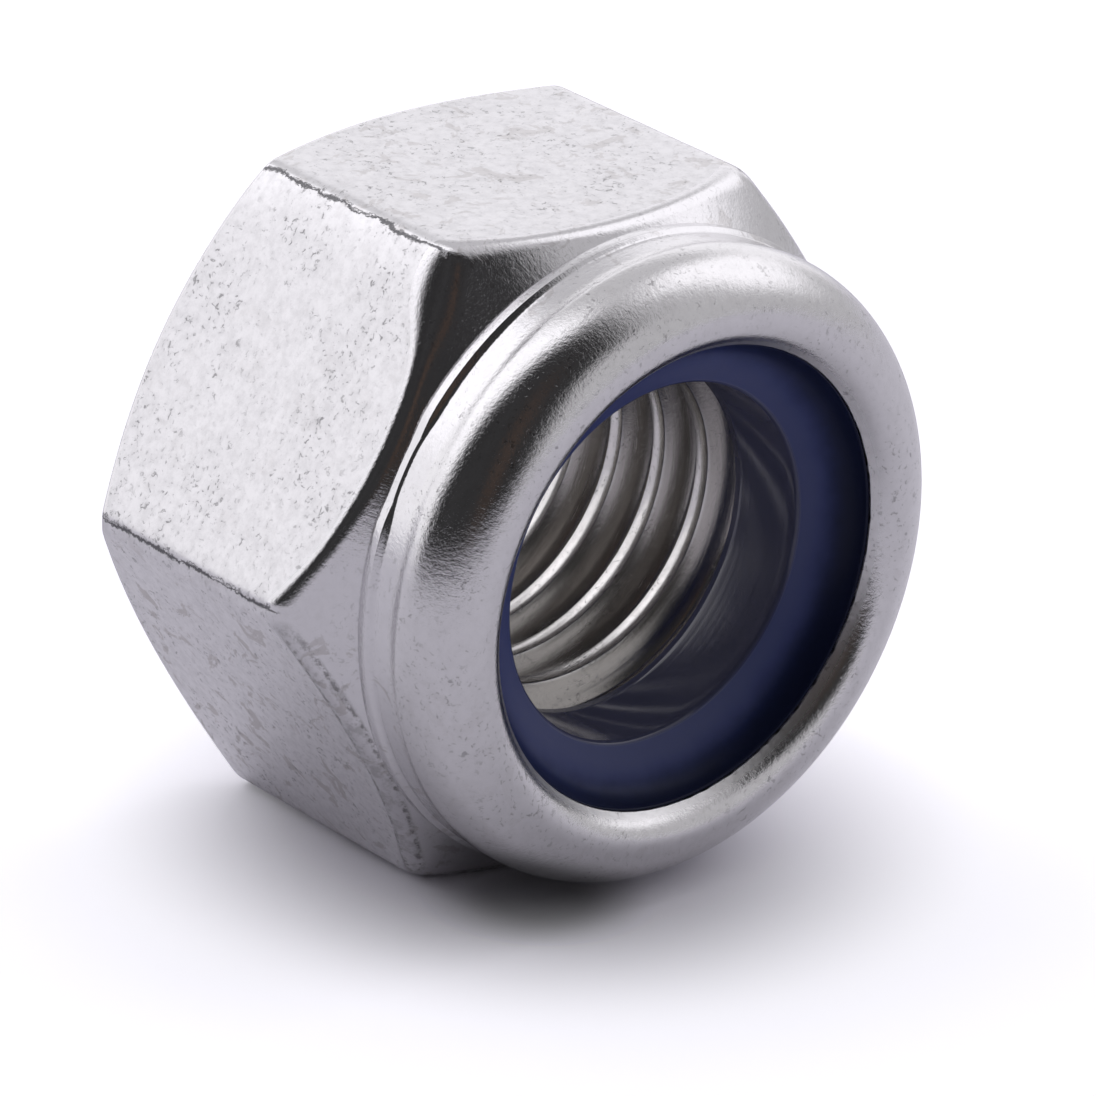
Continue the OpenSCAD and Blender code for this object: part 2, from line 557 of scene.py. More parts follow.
@dataclass(frozen=True)
class RimShadeAndSmears:
    """Speckled dark lines of painted shadow beside the round between flat and chamfer, and smears, with
    sizes in millimetres.

    Pairs are the two ends of a fade. lower_half is sines of the angle.
    """

    # The dark colour of the lines is painted shadow; on the smears it is a mark.
    colour: Colour = (0.09, 0.085, 0.08)
    strength: float = 0.7
    depth: float = 0.004
    cone_slope: float = math.tan(math.radians(40))
    cone_tip: float = 12.25
    half_flats: float = 6.5
    flat_weight: float = 1.2
    shake: Noise = Noise(5.0, 3.0, 0.7)
    shake_width: float = 0.16
    line_off: float = 0.22
    line_border: Pair = (0.015, 0.075)
    gaps: Noise = Noise(5.0, 4.0, 0.75, border=(0.40, 0.60))
    smear_start: Pair = (-0.55, -0.05)
    smear_end: Pair = (0.0, 0.10)
    smears: Noise = Noise(2.2, 4.0, 0.7, border=(0.45, 0.60))
    smear_strength: float = 0.45
    lower_half: Pair = (-0.15, 0.05)
    collar_foot: Pair = (6.9, 7.05)

    def mask(self, nodes: Nodes, polar: PolarPlace) -> Socket:
        """Mask of the lines, and of the smears between them and the edge.

        The distance from the sharp edge is how far the point lies below the chamfer's cone plus how
        deep it lies behind the flat's plane. The lines are painted shadow. They run at the ends of the
        round, broken up by noise, and only in the lower half.

        Args:
            nodes: The material's nodes.
            polar: The surface point's place.

        Returns:
            The mask, from 0 to 1.
        """
        from_middle = nodes.math("SUBTRACT", polar.angle(nodes), HALF_SECTOR)
        from_middle = nodes.math("WRAP", from_middle, HALF_SECTOR, -HALF_SECTOR)
        out = nodes.product(polar.radius, nodes.math("COSINE", from_middle))
        cone = nodes.scaled(polar.radius, -self.cone_slope, self.cone_tip)
        below = nodes.math("SUBTRACT", cone, polar.height)
        behind = nodes.scaled(out, -self.flat_weight, self.flat_weight * self.half_flats)
        shake = self.shake.shift(nodes, polar.place, self.shake_width)
        from_edge = nodes.total(nodes.total(below, behind), shake)
        off = nodes.math("SUBTRACT", from_edge, self.line_off)
        line = nodes.steps(nodes.math("ABSOLUTE", off), *self.line_border, 1.0, 0.0)
        line = nodes.product(line, self.gaps.mask(nodes, polar.place))
        smear = nodes.product(nodes.steps(off, *self.smear_start),
                              nodes.steps(off, *self.smear_end, 1.0, 0.0))
        smears = self.smears.mask(nodes, polar.place, 0.0, self.smear_strength)
        smear = nodes.product(smear, smears)
        where = nodes.product(nodes.steps(polar.north, *self.lower_half, 1.0, 0.0),
                              nodes.steps(polar.height, *self.collar_foot, 1.0, 0.0))
        return nodes.product(nodes.math("MAXIMUM", line, smear), where)


@dataclass(frozen=True)
class StainlessFinish:
    """Bright stainless steel: tint, gloss, and how strongly its marks show.

    Depths are millimetres. Lines are given by how fast they change around the axis, with the
    radius and along the axis. Shades are factors of the tint. cut_edge and thread_root are the
    radii between which the cut edge's roughness and the root's tint fade.
    """

    name: str
    tint: Colour
    roughness: float
    cloud_gloss: float
    mottle: float
    stains: float
    specks: float
    lines: tuple[float, float, float]
    line_depth: float
    line_gloss: float
    grain_depth: float
    edge_shade_and_marks: tuple[CornerBurrsAndShade | RimShadeAndSmears, ...] = ()
    cut_edge_roughness: float = 0.0
    root_tint: Colour | None = None
    marks: SteelMarks = SteelMarks()
    mottle_shade: float = 0.60
    stain_shade: Colour = (0.58, 0.55, 0.52)
    stain_gloss: float = 0.05
    speck_shade: float = 0.22
    speck_depth: float = 0.003
    cut_edge: Pair = (4.67, 4.95)
    thread_root: Pair = (3.43, 3.50)

    def material(self) -> bpy.types.Material:
        """Makes the material: marks in the colour and gloss, lines, grain and pits in the bump.

        Returns:
            The material.
        """
        material, nodes = new_material(self.name)
        polar = PolarPlace.of(nodes)
        marks = self.marks.masks(nodes, polar, self.lines)
        colour = opaque(self.tint)
        shades = {"mottle": (self.mottle, self.mottle_shade), "stains": (self.stains, self.stain_shade),
                  "specks": (self.specks, self.speck_shade)}
        for mark, (strength, shade) in shades.items():
            share = nodes.product(marks[mark], strength)
            colour = nodes.mix(share, colour, opaque(self.tint, shade))
        rough = nodes.scaled(marks["clouds"], self.cloud_gloss, self.roughness)
        rough = nodes.scaled(marks["lines"], self.line_gloss, rough)
        rough = nodes.scaled(marks["stains"], self.stain_gloss * self.stains, rough)
        if self.cut_edge_roughness:
            cut_edge = nodes.steps(polar.radius, *self.cut_edge, self.cut_edge_roughness, 0.0)
            rough = nodes.total(rough, cut_edge)
        depth = nodes.product(marks["lines"], self.line_depth)
        depth = nodes.scaled(marks["grains"], self.grain_depth, depth)
        depth = nodes.scaled(marks["specks"], -self.speck_depth * self.specks, depth)
        # The dark colour of the corner and rim lines is painted shadow.
        for edge_shade_and_marks in self.edge_shade_and_marks:
            share = nodes.product(edge_shade_and_marks.mask(nodes, polar), edge_shade_and_marks.strength)
            colour = nodes.mix(share, colour, opaque(edge_shade_and_marks.colour))
            depth = nodes.scaled(share, -edge_shade_and_marks.depth, depth)
        if self.root_tint:
            root = nodes.steps(polar.radius, *self.thread_root)
            colour = nodes.mix(root, colour, opaque(self.root_tint))
        nodes.bumpy_surface(colour, rough, depth, Metallic=1.0)
        return material


@dataclass(frozen=True)
class NylonFinish:
    """Smooth dyed nylon: navy on its dished face, with painted shade by the lip, and greyer in the hole,
    partly painted reflection.

    Borders and hole_edge are radii between which a change fades in, in millimetres.
    painted_shade_right_side is the same in cosines of the angle. shine is the shader's specular level
    inside and outside.
    """

    name: str
    face_colour: Colour
    painted_lip_shade: Colour
    hole_colour_and_sheen: Colour
    face_roughness: float
    hole_roughness: float
    mottle: Noise = Noise(1.2, 3.0, 0.6)
    mottle_reach: float = 0.25
    mottle_gloss: float = 0.06
    hole_edge: Pair = (3.60, 3.68)
    painted_shade_right_side: Pair = (0.1, 0.95)
    painted_shade_right_reach: float = 0.14
    painted_lip_shade_border: Pair = (4.20, 4.78)
    shine_border: Pair = (4.0, 4.6)
    shine: Pair = (0.4, 0.12)
    ior: float = 1.53
    streaks: Noise = Noise(1.0, 2.0, 0.6)
    lines: tuple[float, float, float] = (0.6, 14.0, 14.0)
    line_depth: float = 0.0012

    def material(self) -> bpy.types.Material:
        """Makes the material: fine turning lines and a soft mottle under a smooth skin.

        Colour and shine change with a reach, which is the radius plus a little mottle, and plus
        a shift that brings the painted shade by the lip further in on the right.

        Returns:
            The material.
        """
        material, nodes = new_material(self.name)
        polar = PolarPlace.of(nodes)
        mottle = self.mottle.on(nodes, polar.place)
        face = nodes.steps(polar.radius, *self.hole_edge)
        # Painted shade: the dark part by the lip reaches further in on the right.
        right = nodes.steps(polar.east, *self.painted_shade_right_side, 0.0, self.painted_shade_right_reach)
        reach = nodes.total(polar.radius, right)
        reach = nodes.scaled(mottle, self.mottle_reach, reach)
        # Painted shade: the face colour darkens towards the lip.
        colour = nodes.mix(nodes.steps(reach, *self.painted_lip_shade_border), opaque(self.face_colour),
                           opaque(self.painted_lip_shade))
        # The hole's lighter grey is partly the nylon's colour and partly painted reflection.
        colour = nodes.mix(face, opaque(self.hole_colour_and_sheen), colour)
        lines = self.streaks.on(nodes, polar.vector(nodes, *self.lines))
        rough = nodes.steps(face, 0.0, 1.0, self.hole_roughness, self.face_roughness)
        rough = nodes.scaled(mottle, self.mottle_gloss, rough)
        depth = nodes.product(lines, self.line_depth)
        shine = nodes.steps(reach, *self.shine_border, *self.shine)
        nodes.bumpy_surface(colour, rough, depth, IOR=self.ior, Specular_IOR_Level=shine)
        return material


# The nut


@dataclass
class Thread:
    """Right-hand metric internal thread, cut by a countersink at each end, in millimetres.

    The profile bends gently from crest to flank and from flank to root. Pairs say how far a bend
    reaches to both sides of the sharp corner, and where the flank's extra rows lie. phase is the
    share of a turn by which the helix is turned.
    """

    crest_r: float
    length: float = 0.0
    front_sink_r: float = 4.3
    front_sink_slope: float = math.tan(math.radians(60))
    back_sink_r: float = 3.95
    back_sink_slope: float = math.tan(math.radians(45))
    root_r: float = 4.02
    pitch: float = 1.25
    phase: float = 0.46
    crest_half: float = 0.165
    root_half: float = 0.12
    crest_bend: Pair = (0.008, 0.012)
    crest_drop: float = 0.002
    root_bend: Pair = (0.03, 0.05)
    root_share: float = 0.99
    flank_rows: Pair = (0.10, 0.22)

    def bends(self) -> tuple[float, float, float, float]:
        """Distances from a crest at which the profile's two bends start and end."""
        root = self.pitch / 2 - self.root_half
        return (self.crest_half - self.crest_bend[0], self.crest_half + self.crest_bend[1],
                root - self.root_bend[0], root + self.root_bend[1])

    def radius(self, angles: np.ndarray, heights: np.ndarray) -> np.ndarray:
        """Radius of the tapped hole's wall.

        The thread's own radius depends only on the distance to the nearest crest, measured along
        the axis from a helix that rises by the pitch each turn. Each countersink is a cone, and the
        wall is whichever of the three is widest.

        Args:
            angles: Angle around the axis in radians.
            heights: Height above the bearing face.

        Returns:
            Radii of the same shape.
        """
        turns = heights / self.pitch - angles / (2 * math.pi) - self.phase
        off = np.abs((turns + 0.5) % 1.0 - 0.5) * self.pitch
        flank = self.pitch / 2 - self.crest_half - self.root_half
        rise = self.root_r - self.crest_r
        steps = [0.0, *self.bends(), self.pitch / 2]
        levels = [0.0, self.crest_drop, self.crest_bend[1] / flank * rise,
                  (1 - self.root_bend[0] / flank) * rise, rise * self.root_share, rise]
        wall = self.crest_r + np.interp(off, steps, levels)
        front = self.front_sink_r - heights * self.front_sink_slope
        back = self.back_sink_r - (self.length - heights) * self.back_sink_slope
        return np.maximum(wall, np.maximum(front, back))

    def rows(self) -> np.ndarray:
        """Distances of the rows of one pitch from a crest, close together where the profile bends.

        Returns:
            The distances in rising order.
        """
        bends = self.bends()
        flank = self.crest_half + np.array(self.flank_rows)
        near = np.array([0.0, *bends[:2], *flank, *bends[2:], self.pitch / 2])
        return np.concatenate([near, self.pitch - near[-2:0:-1]])

    def surface(self, angles: np.ndarray) -> tuple[np.ndarray, np.ndarray]:
        """The wall as a grid whose rows follow the helix, clipped at both faces.

        Row heights are crest height + pitch * (turn + angle / full turn). After a full turn a row
        has risen to the next pitch's row, so the seam closes when doubled points are merged.

        Args:
            angles: Angles of the columns, from 0 to a full turn, both kept.

        Returns:
            The grid's (rows, columns, 2) section points, top row first, and its quads.
        """
        turns = np.arange(-2, math.ceil(self.length / self.pitch) + 2)
        levels = np.sort((turns[:, None] * self.pitch + self.rows()[None, :]).ravel())[::-1]
        shear = self.pitch * (angles / (2 * math.pi) + self.phase)
        heights = np.clip(levels[:, None] + shear[None, :], 0.0, self.length)
        radii = self.radius(np.broadcast_to(angles, heights.shape), heights)
        used = (heights.max(axis=1) > 0.0) & (heights.min(axis=1) < self.length)
        first, last = np.flatnonzero(used)[[0, -1]]
        keep = slice(max(first - 1, 0), last + 2)
        section = np.stack([radii[keep], heights[keep]], axis=-1)
        return section, quads(section.shape[0], section.shape[1], False, False)


@dataclass
class NutBody:
    """The one-piece steel body: hexagon, tapped hole and rolled collar.

    Lengths are millimetres and angles degrees, counted from +X towards +Z, but corner_spread is
    radians. Fields ending in _r are radii, and those ending in _slope the tangent of a slope.
    roll_off holds the width of the strip that rolls off on each half of a flat, from +X round.
    Fields with init=False follow from the others.
    """

    across_flats: float
    across_corners: float
    height: float
    thread: Thread
    hex_h: float = field(init=False)
    seat_z: float = field(init=False)
    foot_r: float = field(init=False)
    crease_z: float = field(init=False)
    lip_x: float = field(init=False)
    lip_z: float = field(init=False)
    under_r: float = field(init=False)
    under_z: float = field(init=False)
    recess_r: float = field(init=False)
    bearing_r: float = 6.3
    bearing_slope: float = math.tan(math.radians(33))
    collar_slope: float = math.tan(math.radians(40))
    collar_h: float = 2.4
    collar_r: float = 6.34
    collar_wall: float = 0.85
    lip_r: float = 1.28
    curl_r: float = 0.60
    curl_end: float = 137.0
    opening_r: float = 4.65
    neck_r: float = 6.29
    crease_drop: float = 1.47
    crease_half: float = 0.17
    crease_depth: float = 0.006
    ridge_stand: float = 0.09
    ridge_w: float = 0.24
    ridge_edge_r: float = 0.05
    foot_depth: float = 0.09
    ridge_slope_h: float = 0.10
    ridge_fade: float = 0.85
    ridge_fade_angle: float = 152.0
    ridge_fade_width: float = 8.0
    seat_depth: float = 3.05
    shoulder_r: float = 0.42
    corner_shoulder_r: float = 0.45
    corner_spread: float = 0.11
    soft_corner_r: float = 0.8
    soft_corner_angle: float = 127.0
    roll_off: tuple[float, ...] = (0.5, 0.4, 0.4, 0.3, 1.25, 0.12, 0.4, 0.5, 0.4, 0.3, 0.6, 0.5)
    roll_off_slope: float = 0.15
    corner_sharpness: float = 300.0
    bearing_edge_r: float = 0.12
    blank_edge_r: float = 0.09
    foot_turn_r: float = 0.015
    crown_r: float = 0.03
    ridge_foot_r: float = 0.12
    cut_edge_r: float = 0.012
    burr_h: float = 0.03
    burr_angle: float = -35.0
    burr_base: float = 0.25
    burr_waves: tuple[int, int] = (30, 120)
    burr_seed: int = 5
    corner_columns: tuple[float, ...] = (0.0, 0.35, 0.7, 1.05, 1.4, 1.75, 2.2, 2.8, 3.7, 4.8)
    flat_columns: tuple[float, float, int] = (6.0, 30.0, 20)

    def __post_init__(self) -> None:
        """Works out the heights and radii that follow from the sizes, and the thread's length."""
        self.hex_h = self.height - self.collar_h
        self.seat_z = self.height - self.seat_depth
        self.foot_r = self.neck_r - self.foot_depth
        self.crease_z = self.height - self.crease_drop
        self.lip_x = self.collar_r - self.lip_r
        self.lip_z = self.height - self.lip_r
        self.under_r = self.lip_r - self.collar_wall
        self.under_z = self.lip_z + self.under_r
        self.recess_r = self.collar_r - self.collar_wall
        self.thread.length = self.seat_z

    def columns(self) -> np.ndarray:
        """Angles of the columns: close together at the six corners, where the hexagon turns.

        Returns:
            Angles in radians, from 0 to just under a full turn.
        """
        half = np.concatenate([self.corner_columns, np.linspace(*self.flat_columns)])
        sector = np.concatenate([half, 60.0 - half[-2:0:-1]])
        return np.radians((np.arange(6)[:, None] * 60.0 + sector[None, :]).ravel())

    def hexagon_r(self, angles: np.ndarray) -> np.ndarray:
        """Distance from the axis to the hexagon's side.

        Each half of a flat rolls off towards its corner: its distance from the axis drops with the
        square of the way into the roll-off's width. That distance over the cosine of the angle from
        the flat's middle is blended with half the width across corners by a power mean, which
        blunts the corner.

        Args:
            angles: Angles of the columns.

        Returns:
            A distance for each column.
        """
        off = off_corner(angles)
        half, corner, n = self.across_flats / 2, self.across_corners / 2, self.corner_sharpness
        from_corner = half * (math.tan(HALF_SECTOR) - np.tan(HALF_SECTOR - off))
        width = np.array(self.roll_off)[(angles // HALF_SECTOR).astype(int) % len(self.roll_off)]
        drop = 0.5 * self.roll_off_slope * np.maximum(width - from_corner, 0.0) ** 2 / width
        flat = (half - drop) / np.cos(HALF_SECTOR - off)
        return corner * ((flat / corner) ** -n + 1) ** (-1 / n)

    def ridge(self, angles: np.ndarray) -> tuple[np.ndarray, np.ndarray]:
        """The rounded front edge of the ridge at the collar's foot, and its fade in each column.

        The fade is a bell curve of the fourth power around one angle. It lowers the ridge there.

        Args:
            angles: Angles of the columns.

        Returns:
            Rows of the edge, and the fade, which is 0 where the ridge is whole.
        """
        edge_x = self.neck_r + self.ridge_stand - self.ridge_edge_r
        way = (np.degrees(angles) - self.ridge_fade_angle) / self.ridge_fade_width
        fade = self.ridge_fade * np.exp(-way ** 4)
        edge = around(arc(edge_x, self.hex_h + self.ridge_edge_r, self.ridge_edge_r, -90, 0, 3),
                      angles.size)
        edge[..., 0] -= self.ridge_stand * fade
        return edge, fade

    def hexagon_parts(self, angles: np.ndarray, collar_foot: np.ndarray) -> list[ZoneRows]:
        """Rows of the bearing face, the flats between the two cones and the chamfer to the collar.

        Args:
            angles: Angles of the columns.
            collar_foot: First row of the ridge.

        Returns:
            Zones and their rows.
        """
        side = self.hexagon_r(angles)
        sink = row(angles, self.thread.radius(angles, 0 * angles), 0.0)
        bearing = row(angles, self.bearing_r, 0.0)
        low = row(angles, side, (side - self.bearing_r) * self.bearing_slope)
        high = row(angles, side, self.hex_h - (side - self.foot_r) * self.collar_slope)
        foot = row(angles, self.foot_r, self.hex_h)
        rim = rounded(sink, bearing, low, self.bearing_edge_r, steps=4, margin=0.04)
        back = rounded(bearing, low, high, self.blank_edge_r, steps=4, margin=0.03)
        front = rounded(low, high, foot, self.shoulder(angles), steps=8, margin=0.03)
        turn = rounded(high, foot, collar_foot, self.foot_turn_r, steps=2, margin=0.01)
        return [
            (Zone.BEARING, sink[None]),
            (Zone.BEARING, between(sink, rim[0], 3)),
            (Zone.BEARING, rim),
            (Zone.TURNED, between(rim[-1], back[0], 2)),
            (Zone.TURNED, back[:-1]),
            (Zone.FLATS, back[-1:]),
            (Zone.FLATS, between(back[-1], front[0], 8)),
            (Zone.TURNED, front),
            (Zone.TURNED, between(front[-1], turn[0], 4)),
            (Zone.TURNED, turn),
        ]

    def neck_parts(self, angles: np.ndarray, ridge: np.ndarray, fade: np.ndarray) -> list[ZoneRows]:
        """Rows of the ridge, its slope down to the neck, and the neck.

        Args:
            angles: Angles of the columns.
            ridge: Rows of the ridge's front edge.
            fade: How far the ridge has faded in each column.

        Returns:
            Zones and their rows.
        """
        crown_z = self.hex_h + self.ridge_w
        crown = row(angles, ridge[-1, :, 0], crown_z)
        low = row(angles, self.neck_r, crown_z + self.ridge_slope_h * (1 - fade))
        high = row(angles, self.neck_r, self.crease_z - self.crease_half)
        edge = rounded(ridge[-1], crown, low, self.crown_r, steps=3, margin=0.005)
        foot = rounded(crown, low, high, self.ridge_foot_r, steps=6, margin=0.005)
        parts = [ridge, edge, foot, between(low, high, 4)[1:]]
        return [(Zone.TURNED, part) for part in parts]

    def lip_parts(self, angles: np.ndarray) -> list[ZoneRows]:
        """Rows of the crease, the rolled lip, its curl and the cut edge of its opening.

        The lip and the curl are arcs that touch, and a straight cone leads on to the cut edge. The
        crease eases from the neck's radius to the lip's by a cubic, less a squared cosine.

        Args:
            angles: Angles of the columns.

        Returns:
            Zones and their rows.
        """
        lip_from = (self.crease_z + self.crease_half - self.lip_z) / self.lip_r
        lip_from = math.degrees(math.asin(lip_from))
        curl_x = self.opening_r + self.curl_r
        curl_from = math.degrees(math.acos((curl_x - self.lip_x) / (self.lip_r - self.curl_r)))
        curl_z = self.lip_z + (self.lip_r - self.curl_r) * math.sin(math.radians(curl_from))
        lip = arc(self.lip_x, self.lip_z, self.lip_r, lip_from, curl_from, 30)
        curl = arc(curl_x, curl_z, self.curl_r, curl_from, self.curl_end, 12)[1:]
        end_x, end_z = curl[-1]
        edge_z = end_z - (end_x - self.opening_r) * math.tan(math.radians(self.curl_end - 90))
        end = row(angles, end_x, end_z)
        edge = row(angles, self.opening_r, edge_z)
        wall = row(angles, self.opening_r, self.under_z)
        cut = rounded(end, edge, wall, self.cut_edge_r, steps=3, margin=0.01)
        curl = np.concatenate([around(curl, angles.size), between(end, cut[0], 4)[1:], cut])
        curl[..., 0] += np.linspace(0, 1, len(curl))[:, None] ** 4 * self.burrs(angles)[None, :]
        way = np.linspace(-1.0, 1.0, 13)[:-1]
        share = (way + 1) ** 2 * (2 - way) / 4
        dip = self.crease_depth * np.cos(math.pi / 2 * way) ** 2
        crease_r = self.neck_r + (lip[0, 0] - self.neck_r) * share - dip
        crease = np.stack([crease_r, self.crease_z + way * self.crease_half], -1)
        parts = [around(crease, angles.size), around(lip, angles.size), curl, wall[None]]
        return [(Zone.LIP, part) for part in parts]

    def recess_parts(self, angles: np.ndarray) -> list[ZoneRows]:
        """Rows of the roll's underside, the recess's wall and the ring's seat.

        Args:
            angles: Angles of the columns.

        Returns:
            Zones and their rows.
        """
        under = arc(self.lip_x, self.lip_z, self.under_r, 90, 0, 6)
        hole = self.thread.radius(angles, self.seat_z + 0 * angles)
        parts = [around(under, angles.size), row(angles, self.recess_r, self.seat_z)[None],
                 row(angles, hole, self.seat_z)[None]]
        return [(Zone.BORE, part) for part in parts]

    def outline(self, angles: np.ndarray) -> tuple[np.ndarray, np.ndarray]:
        """Section of the body in every column, from the bearing face around to the ring's seat.

        Args:
            angles: Angles of the columns.

        Returns:
            (rows, columns, 2) section points, and the zone of the faces after each row.
        """
        ridge, fade = self.ridge(angles)
        parts = (self.hexagon_parts(angles, ridge[0]) + self.neck_parts(angles, ridge, fade)
                 + self.lip_parts(angles) + self.recess_parts(angles))
        rows = np.concatenate([part for _, part in parts])
        zones = np.concatenate([np.full(len(part), zone.value) for zone, part in parts])
        return rows, zones

    def shoulder(self, angles: np.ndarray) -> np.ndarray:
        """Radius of the round between flat and chamfer.

        It is larger by a bell curve at each corner, and by another one beside the top left corner,
        where the forming die has left the edge softest.

        Args:
            angles: Angles of the columns.

        Returns:
            (columns, 1) radii.
        """
        corner = self.corner_shoulder_r * np.exp(-(off_corner(angles) / self.corner_spread) ** 2)
        from_soft = (angles - math.radians(self.soft_corner_angle)) / self.corner_spread
        soft = self.soft_corner_r * np.exp(-from_soft ** 2)
        return (self.shoulder_r + corner + soft)[:, None]

    def burrs(self, angles: np.ndarray) -> np.ndarray:
        """How far the ragged edge of the lip's opening steps outwards.

        It is the positive part of a wave, times a base plus the squared cosine of the angle from
        the lower right.

        Args:
            angles: Angles of the columns.

        Returns:
            A length for each column.
        """
        window = np.clip(np.cos(angles - math.radians(self.burr_angle)), 0.0, 1.0) ** 2
        ragged = np.clip(wave(angles, self.burr_seed, *self.burr_waves), 0.0, 1.0)
        return self.burr_h * (self.burr_base + window) * ragged

    def build(self) -> bpy.types.Object:
        """Makes the body: outer surface and threaded wall, joined at the seat and the bearing face.

        Returns:
            The finished piece.
        """
        angles = self.columns()
        rows, zones = self.outline(angles)
        outer = to_frame(rows, angles).reshape(-1, 3)
        outer_faces = quads(rows.shape[0], rows.shape[1], False, True)
        outer_zones = np.repeat(zones[:-1], angles.size)
        full_turn = np.append(angles, 2 * math.pi)
        wall, wall_faces = self.thread.surface(full_turn)
        inner = to_frame(wall, full_turn).reshape(-1, 3)
        points = np.concatenate([outer, inner])
        faces = np.concatenate([outer_faces, wall_faces + len(outer)])
        all_zones = np.concatenate([outer_zones, np.full(len(wall_faces), Zone.BORE.value)])
        piece = make_piece("steel_body", points, faces, all_zones)
        for zone in Zone:
            piece.data.materials.append(STEEL_FINISHES[zone].material())
        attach(piece, "root")
        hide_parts("nut_body")
        return piece


@dataclass
class NylonRing:
    """The nylon ring that the rolled lip holds on its seat, in millimetres and degrees."""

    seat_z: float
    under_z: float
    outer_r: float
    lip_x: float
    under_r: float
    bore_r: float = 3.58
    dish_depth: float = 0.46
    dish_angle: float = 25.0
    edge_r: float = 0.12
    gap: float = 0.02
    rise_from_r: float = 4.26
    rise_run: float = 0.27
    rise_r: float = 4.64
    rise_z: float = 9.02
    rim_inset: float = 0.002
    rim_rows: Pair = (0.03, 0.004)
    columns: int = 288

    def outline(self) -> np.ndarray:
        """Closed half section: wall, under the lip, up along its edge, dished face and hole.

        The face's outer part is a parabola that leaves the dish's slope and rises to the lip.

        Returns:
            Array of (n, 2) section points.
        """
        slope = math.tan(math.radians(self.dish_angle))
        top = self.under_z - self.dish_depth
        bend = 90 - self.dish_angle
        edge_z = top - self.edge_r * math.tan(math.radians(bend / 2))
        edge = arc(self.bore_r + self.edge_r, edge_z, self.edge_r, 180, 180 - bend, 6)[::-1]
        foot = np.array([self.rise_from_r, top + (self.rise_from_r - self.bore_r) * slope])
        bend_at = foot + np.array([self.rise_run, self.rise_run * slope])
        lip_edge = np.array([self.rise_r - self.rim_inset, self.rise_z])
        way = np.linspace(1.0, 0.0, 13)[:, None]
        rise = foot * (1 - way) ** 2 + 2 * bend_at * way * (1 - way) + lip_edge * way ** 2
        side = [[self.rise_r, self.under_z - self.gap]]
        side += [[self.rise_r, self.rise_z - below] for below in self.rim_rows]
        dish = np.linspace(foot, edge[0], 12)[1:-1]
        outside = arc(self.lip_x, self.under_z - self.under_r, self.under_r - self.gap, 0, 90, 6)
        wall_x = self.outer_r - self.gap
        bore = np.linspace(edge[-1], [self.bore_r, self.seat_z], 9)[1:]
        return np.concatenate([[[wall_x, self.seat_z]], outside, side, rise, dish, edge, bore])

    def build(self) -> bpy.types.Object:
        """Makes the ring as a closed surface of revolution.

        Returns:
            The finished piece.
        """
        angles = np.linspace(0, 2 * math.pi, self.columns, endpoint=False)
        rows = around(self.outline(), self.columns)
        points = to_frame(rows, angles).reshape(-1, 3)
        faces = quads(rows.shape[0], rows.shape[1], True, True)
        piece = make_piece("nylon_ring", points, faces, np.zeros(len(faces)))
        piece.data.materials.append(NYLON_FINISH.material())
        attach(piece, "root")
        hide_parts("nylon_insert")
        return piece


STEEL_FINISHES = {
    Zone.FLATS: StainlessFinish(
        name="steel_flats", tint=(0.74, 0.73, 0.745), roughness=0.22, cloud_gloss=0.14,
        mottle=0.34, stains=0.60, specks=0.70,
        lines=(1.6, 1.2, 4.0), line_depth=0.0030, line_gloss=0.10, grain_depth=0.0012,
        edge_shade_and_marks=(CornerBurrsAndShade(), RimShadeAndSmears())),
    Zone.TURNED: StainlessFinish(
        name="steel_turned", tint=(0.66, 0.65, 0.665), roughness=0.03, cloud_gloss=0.03,
        mottle=0.10, stains=0.50, specks=0.25,
        lines=(60.0, 16.0, 16.0), line_depth=0.0030, line_gloss=0.04, grain_depth=0.0045,
        edge_shade_and_marks=(CornerBurrsAndShade(), RimShadeAndSmears())),
    Zone.LIP: StainlessFinish(
        name="steel_lip", tint=(0.665, 0.655, 0.665), roughness=0.04, cloud_gloss=0.04,
        mottle=0.16, stains=0.10, specks=0.50,
        lines=(70.0, 16.0, 16.0), line_depth=0.0034, line_gloss=0.04, grain_depth=0.0065,
        cut_edge_roughness=0.26),
    Zone.BORE: StainlessFinish(
        name="steel_bore", tint=(0.66, 0.645, 0.635), roughness=0.16, cloud_gloss=0.08,
        mottle=0.24, stains=0.10, specks=0.6,
        lines=(1.0, 14.0, 14.0), line_depth=0.0018, line_gloss=0.10, grain_depth=0.0026,
        root_tint=(0.44, 0.42, 0.40)),
    Zone.BEARING: StainlessFinish(
        name="steel_bearing", tint=(0.64, 0.63, 0.64), roughness=0.18, cloud_gloss=0.08,
        mottle=0.15, stains=0.20, specks=0.5,
        lines=(1.0, 16.0, 0.0), line_depth=0.0020, line_gloss=0.10, grain_depth=0.0004),
}
# The ring's colours hold painted shade by the lip, and in the hole a grey that is partly painted
# reflection.
NYLON_FINISH = NylonFinish(
    name="navy_nylon", face_colour=(0.021, 0.034, 0.140), painted_lip_shade=(0.009, 0.013, 0.040),
    hole_colour_and_sheen=(0.066, 0.070, 0.125), face_roughness=0.34, hole_roughness=0.08)


# Studio


